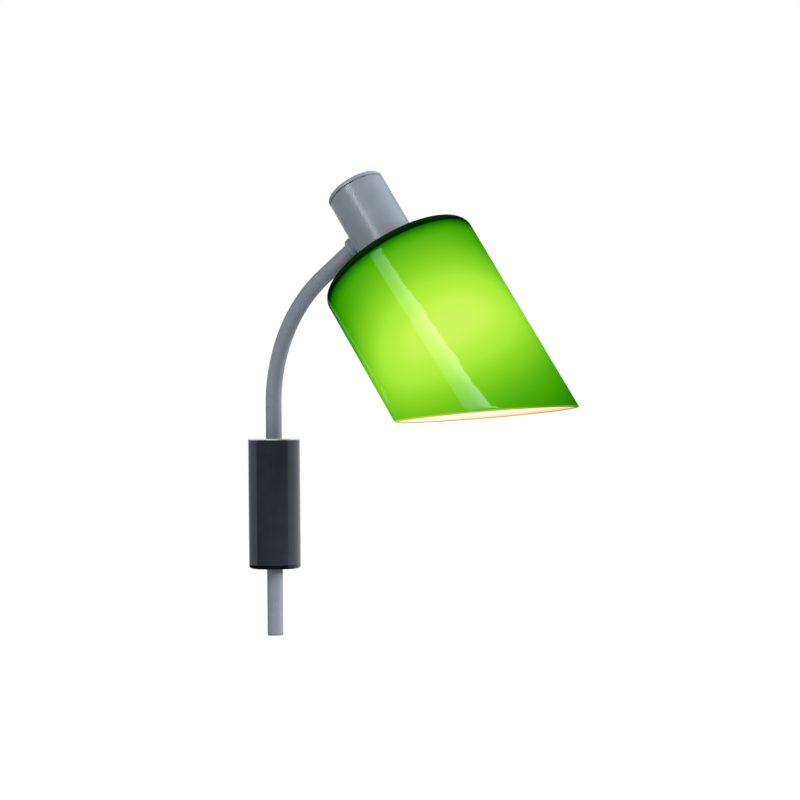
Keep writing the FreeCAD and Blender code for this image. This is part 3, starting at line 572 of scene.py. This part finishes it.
def seamed_glass():
    """The seamed inner edge of the mouth: ground glass, with a painted grey-brown glow against the lit
    lining. The real marks of the grit are far finer, and they are drawn coarser so that they show."""
    material, tree, shader, place = glass_material("seamed_glass_edge")
    grit = 1.5
    grain = add(tree, "ShaderNodeTexNoise", {"Vector": place, "Scale": 1000 / grit}).outputs[0]
    tone = add(tree, "ShaderNodeValToRGB", {"Fac": grain}, stops=((0.3, "#A8966C"), (0.7, "#BFAF86")))
    tree.links.new(tone.outputs[0], shader.inputs["Emission Color"])
    shader.inputs["Emission Strength"].default_value = 0.8
    shader.inputs["Base Color"].default_value = linear("#4A452F")
    shader.inputs["Roughness"].default_value = 0.35
    return material


rows, count = shade_rows(), 256
glass = skin("blown_glass_shade", shade_points(rows, count))
for material in (green_glass(), opal_glass(), cut_glass()):
    glass.data.materials.append(material)
fit(glass, "shade", seamed_glass(), "green_cased_glass", "glass_shade")
layers = np.repeat(rows[:, 3], count).astype(np.int32)
glass.data.polygons.foreach_set("material_index", layers)

# Bulb: a globe lamp, blown in opal glass, on its screw cap, with a pressed black glass insulator and a
# solder tip. The lit envelope is white, and warmer towards its rim.
globe_r, globe_depth, neck_r, neck_depth = 30.0, 105.8, 13.6, 56.5


def globe_section(count=48):
    """Half section of the envelope: a neck that flares in a smooth S into the round globe. With s as
    the share of the way down to the globe's circle, which begins 60 degrees over its middle, the
    radius gains (s * s * (3 - 2 * s)) to the power 1.2 of the step between them."""
    turn = np.linspace(np.radians(60), -np.pi / 2, count)
    arc = np.stack([globe_r * np.cos(turn), -globe_depth + globe_r * np.sin(turn)], 1)
    share = np.linspace(0, 1, 16, endpoint=False)
    smooth = share * share * (3 - 2 * share)
    slope = np.stack([neck_r + (arc[0, 0] - neck_r) * smooth ** 1.2,
                      -neck_depth + (arc[0, 1] + neck_depth) * share], 1)
    return np.concatenate([[(0, -neck_depth)], slope, arc]) * mm


def lit_opal():
    """Opal glass with a light inside: white, with a warm cast where it turns away, and a thin gloss."""
    material = bpy.data.materials.new("lit_opal_envelope")
    material.use_nodes = True
    tree = material.node_tree
    shader = tree.nodes["Principled BSDF"]
    facing = add(tree, "ShaderNodeLayerWeight", {"Blend": 0.5}).outputs["Facing"]
    tone = add(tree, "ShaderNodeValToRGB", {"Fac": facing}, stops=(
        (0.0, "#FFFFF8"), (0.45, "#FFF6DC"), (1.0, "#EFC780"))).outputs[0]
    tree.links.new(tone, shader.inputs["Emission Color"])
    shader.inputs["Emission Strength"].default_value = 0.95
    shader.inputs["Base Color"].default_value = linear("#77746C")
    shader.inputs["Roughness"].default_value = 0.15
    shader.inputs["IOR"].default_value = 1.5
    return material


globe = skin("bulb_globe", turned(globe_section(), head_point, arm_way, head_up, 96), closed_rows=False)
fit(globe, "head", lit_opal(), "opal_glass", "bulb_envelope")
coat(finish("pressed_black_glass", ("#0A0A0C", "#111114"), patch=3, rough=(0.1, 0.2), grain=0.8,
            depth=0.006, IOR=1.6), "bulb_insulator")
coat(finish("tin_solder", ("#A8A9AA", "#BDBEBF"), patch=1.5, rough=(0.25, 0.4), grain=0.6, depth=0.02,
            Metallic=1.0), "bulb_tip")

# Camera: where the photograph's outlines put it, two and a quarter metres from the lamp, level and
# turned about 37 degrees, with a long lens.
view_yaw, view_pitch, view_roll = np.radians([36.635, -0.2136, -0.4708])
camera_place = np.array([1428.69, -1735.16, 87.27]) * mm
lens_px, frame_px, sensor_mm = 2900.0, 800.0, 36.0
level_forward = np.array([-np.sin(view_yaw), np.cos(view_yaw), 0.0])
forward = level_forward * np.cos(view_pitch) + up * np.sin(view_pitch)
level_right = np.array([np.cos(view_yaw), np.sin(view_yaw), 0.0])
level_up = np.cross(level_right, forward)
view_right = np.cos(view_roll) * level_right + np.sin(view_roll) * level_up
view_up = np.cos(view_roll) * level_up - np.sin(view_roll) * level_right
camera = bpy.data.objects.new("camera", bpy.data.cameras.new("camera"))
bpy.context.scene.collection.objects.link(camera)
bpy.context.scene.camera = camera
camera.data.sensor_width = sensor_mm
camera.data.lens = lens_px / frame_px * sensor_mm
placed = np.eye(4)
placed[:3, :3] = np.column_stack([view_right, view_up, -forward])
placed[:3, 3] = camera_place
camera.matrix_world = Matrix(placed.tolist())

# Studio: a pale floor well below the lamp and a white surround, which the camera, gloss and clear
# glass see, while the lamp is lit by its softer level. Its measures are in metres, and centre is the
# lamp's middle.
floor_drop, floor_half = 0.85, 12.0
room_light, floor_lift = 0.42, 0.8
centre = np.array([0.143, 0.0, 0.075])


def from_camera(turn, rise=0.0):
    """Direction at a turn to the camera's right and a rise, both in degrees and seen from the lamp:
    cos rise * (sin turn * right - cos turn * forward) + sin rise * up."""
    turn, rise = np.radians(turn)[..., None], np.radians(rise)[..., None]
    return np.cos(rise) * (np.sin(turn) * level_right - np.cos(turn) * level_forward) + np.sin(rise) * up


def sheet(name, points, material, tone=None):
    """A studio sheet over a grid of points, with a tone for each point where its material reads one."""
    number = np.arange(points.shape[0] * points.shape[1]).reshape(points.shape[:2])
    quads = np.stack([number[:-1, :-1], number[:-1, 1:], number[1:, 1:], number[1:, :-1]], -1)
    mesh = bpy.data.meshes.new(name)
    mesh.from_pydata(points.reshape(-1, 3).tolist(), [], quads.reshape(-1, 4).tolist())
    if tone is not None:
        tones = mesh.attributes.new("tone", "FLOAT", "POINT")
        tones.data.foreach_set("value", tone.ravel().astype(np.float32))
    mesh.materials.append(material)
    piece = bpy.data.objects.new(name, mesh)
    bpy.context.scene.collection.objects.link(piece)
    return piece


def lit_cloth(name, lights=False):
    """Cloth that shines with its own tone, whatever falls on it. Rays find it by themselves, unless it
    also lights the lamp."""
    material = bpy.data.materials.new(name)
    material.use_nodes = True
    material.cycles.emission_sampling = "AUTO" if lights else "NONE"
    tree = material.node_tree
    tree.nodes.remove(tree.nodes["Principled BSDF"])
    level = add(tree, "ShaderNodeAttribute", attribute_name="tone").outputs["Fac"]
    shine = add(tree, "ShaderNodeEmission", {"Strength": level}).outputs[0]
    tree.links.new(shine, tree.nodes["Material Output"].inputs["Surface"])
    return material


def seen_directly(tree):
    """1 for camera, glossy and transmission rays, and 0 for the rays that light things."""
    path = add(tree, "ShaderNodeLightPath").outputs
    seen = path["Is Camera Ray"]
    for kind in ("Is Glossy Ray", "Is Transmission Ray"):
        seen = add(tree, "ShaderNodeMath", {0: seen, 1: path[kind]}, operation="MAXIMUM").outputs[0]
    return seen


def pale_floor():
    """Matt white paint on a smooth floor. What the camera sees of it is lifted to the surround's white,
    and a shadow still darkens it."""
    material = bpy.data.materials.new("pale_floor_paint")
    material.use_nodes = True
    tree = material.node_tree
    shader = tree.nodes["Principled BSDF"]
    shader.inputs["Base Color"].default_value = linear("#D2D2D1")
    shader.inputs["Roughness"].default_value = 0.9
    shader.inputs["Emission Color"].default_value = linear("#FFFFFF")
    lift = add(tree, "ShaderNodeMath", {0: seen_directly(tree), 1: floor_lift}, operation="MULTIPLY")
    tree.links.new(lift.outputs[0], shader.inputs["Emission Strength"])
    return material


side_x, side_y = np.meshgrid([-floor_half, floor_half], [-floor_half, floor_half])
floor = sheet("floor", np.stack([side_x, side_y, np.full((2, 2), -floor_drop)], -1), pale_floor())
floor.visible_glossy = False
world = bpy.data.worlds.new("white_surround")
bpy.context.scene.world = world
world.use_nodes = True
tree = world.node_tree
level = add(tree, "ShaderNodeMapRange", {"Value": seen_directly(tree), "To Min": room_light}).outputs[0]
tree.links.new(level, tree.nodes["Background"].inputs["Strength"])
tree.nodes["Background"].inputs["Color"].default_value = linear("#FFFFFF")

# Softbox: a tall sheet of lit cloth at the camera's left, whose reflection runs down the glass. Its
# right edge hangs in loose scallops, and it is brightest along that edge. Each edge is a line through
# two points, (x, y, z) in mm: one that the top of the glass mirrors, and one that its foot mirrors.
soft_level = 4.2
soft_left = np.array([(-50, -982, 512), (150, -995, 410)]) * mm
soft_right = np.array([(185, -930, 671), (567, -778, 684)]) * mm
across, along = np.meshgrid(np.linspace(0, 1, 14), np.linspace(0.03, 1.5, 240))
left, right = (ends[0] + along[..., None] * (ends[1] - ends[0]) for ends in (soft_left, soft_right))
scallop = 0.045 * np.sin(21 * along) + 0.035 * np.sin(47 * along + 1) + 0.025 * np.sin(83 * along + 2)
points = left + (right - left) * (across * (1 + scallop))[..., None]
hem = np.interp(across, [0, 0.05, 0.5, 0.88, 1], [-0.1, -0.03, 0.18, 0.75, 0.6])
tone = soft_level * (0.32 + hem * np.interp(along, [0, 0.3, 0.5], [0.35, 0.65, 1]))
softbox = sheet("softbox", points, lit_cloth("softbox_cloth", lights=True), tone)


def shine_on(piece, receivers):
    """Lets a studio sheet show in the gloss of the receivers alone."""
    chosen = bpy.data.collections.new(piece.name + "_receivers")
    for receiver in receivers:
        chosen.objects.link(receiver)
    piece.light_linking.receiver_collection = chosen


# The stem keeps its plain grey beside the glass, without the green light from it.
shine_on(glass, [stem])
glass.light_linking.receiver_collection.collection_objects[0].light_linking.link_state = "EXCLUDE"

# Head light: the softbox's neighbour, higher and to the right, which draws the stripe down the
# housing: sharp at its left edge, and fading to its right. The two rows of points, (x, y, z) in mm,
# are what the housing mirrors at the glass and at the lid.
low_row = np.array([(-89, -978, 515), (111, -965, 665), (367, -1144, 1008), (585, -1343, 1351)]) * mm
high_row = np.array([(-137, -980, 584), (59, -1043, 774), (328, -1224, 1143), (561, -1456, 1538)]) * mm
across, along = np.meshgrid(np.linspace(0, 3, 25), np.linspace(-0.1, 1.7, 12))
low, high = (np.stack([np.interp(across, np.arange(4), row[:, i]) for i in range(3)], -1)
             for row in (low_row, high_row))
tone = np.interp(across, [0, 0.4, 1, 2, 3], [6.0, 9.0, 9.5, 3.0, 0.3])
tone = tone * np.interp(along, [-0.1, 0.1, 0.4, 0.7, 1.0, 1.7], [3.4, 2.2, 1.35, 1.05, 0.8, 0.72])
head_light = sheet("head_light", low + (high - low) * along[..., None], lit_cloth("head_light_cloth"), tone)
shine_on(head_light, [nodes["housing"], lid])

# Cloth that only gloss sees: a dark tent round the room with a dim slit behind the lamp, a white
# backdrop that the paint shows along its edges, and two screens and a ceiling for the base's gloss.
# Each radius is from the lamp's middle, or from the base's middle for the screens.
tent_r, backdrop_r, ceiling_r, screen_r = 1.9, 1.7, 1.3, 0.5
turn, rise = np.meshgrid(np.linspace(-180, 180, 181), np.linspace(-89, 89, 90))
slit = np.clip((np.abs(turn) - 168) / 6, 0, 1) * np.clip((7 - np.abs(rise)) / 3, 0, 1)
tent = sheet("tent", centre + tent_r * from_camera(turn, rise), lit_cloth("tent_cloth"), 0.02 + 0.2 * slit)
turn, rise = np.meshgrid(np.linspace(95, 265, 86), np.linspace(-70, 70, 36))
tone = np.interp(turn, [95, 120, 140, 230, 245, 262], [0, 0.5, 0.8, 1.0, 0.6, 0])
backdrop = sheet("backdrop", centre + backdrop_r * from_camera(turn, rise), lit_cloth("backdrop_cloth"),
                 tone)
shine_on(backdrop, [stem] + [nodes[name] for name in ("housing", "arm_collar", "saddle_washer")])
glossy_base = [cover, nodes["top_cap"], nodes["bottom_cap"]]
turn, rise = np.meshgrid(np.linspace(-180, 180, 37), np.linspace(10, 89, 14))
ceiling = sheet("ceiling", centre + ceiling_r * from_camera(turn, rise), lit_cloth("ceiling_cloth"),
                np.full(turn.shape, 1.5))
shine_on(ceiling, glossy_base)
cloths = [tent, backdrop, ceiling]
for name, turns, tones, shown in (("left_screen", (-145, -81), (0.36, 0.55), glossy_base[:2]),
                                  ("right_screen", (64, 215), (0.55, 0.95), glossy_base)):
    turn, height = np.meshgrid(np.linspace(*turns, 60), np.array([-450, 120]) * mm)
    tone = np.interp(turn, (turns[0], turns[0] + 50, turns[1]), (tones[0], tones[1], tones[1]))
    points = stem_foot + screen_r * from_camera(turn) + height[..., None] * up
    screen = sheet(name, points, lit_cloth(name + "_cloth"), tone)
    shine_on(screen, shown)
    cloths.append(screen)
for cloth in cloths + [softbox, head_light]:
    cloth.visible_camera = cloth.visible_shadow = cloth.visible_transmission = False
for cloth in cloths + [head_light]:
    cloth.visible_diffuse = False


def light_panel(name, turn, rise, width, height, energy, distance=1.5):
    """A soft panel that faces the lamp's middle and is left out of reflections. The turn and the rise
    are in degrees, the sizes and the distance in metres and the energy in watts."""
    way = from_camera(np.float64(turn), np.float64(rise))
    light = bpy.data.lights.new(name, "AREA")
    light.shape, light.size, light.size_y, light.energy = "RECTANGLE", width, height, energy
    panel = bpy.data.objects.new(name, light)
    bpy.context.scene.collection.objects.link(panel)
    panel.visible_camera = panel.visible_glossy = False
    side = np.cross(up, way) / np.linalg.norm(np.cross(up, way))
    stood = np.eye(4)
    stood[:3, :3] = np.column_stack([side, np.cross(way, side), way])
    stood[:3, 3] = centre + way * distance
    panel.matrix_world = Matrix(stood.tolist())


# Key and fills: a broad soft panel at the right and a little behind, one at the front right that the
# shade keeps off the upper stem, and one at the front left, all from above. A weak low one at the
# left reaches the stem below the base and the underside of the housing.
light_panel("key_panel", 118, 22, 1.1, 0.7, 38.0)
light_panel("right_fill", 52, 15, 0.5, 0.4, 13.0)
light_panel("left_fill", -25, 36, 1.2, 0.8, 9.0)
light_panel("low_fill", -75, -30, 0.5, 0.4, 2.3)

bpy.context.scene.view_settings.view_transform = "Standard"
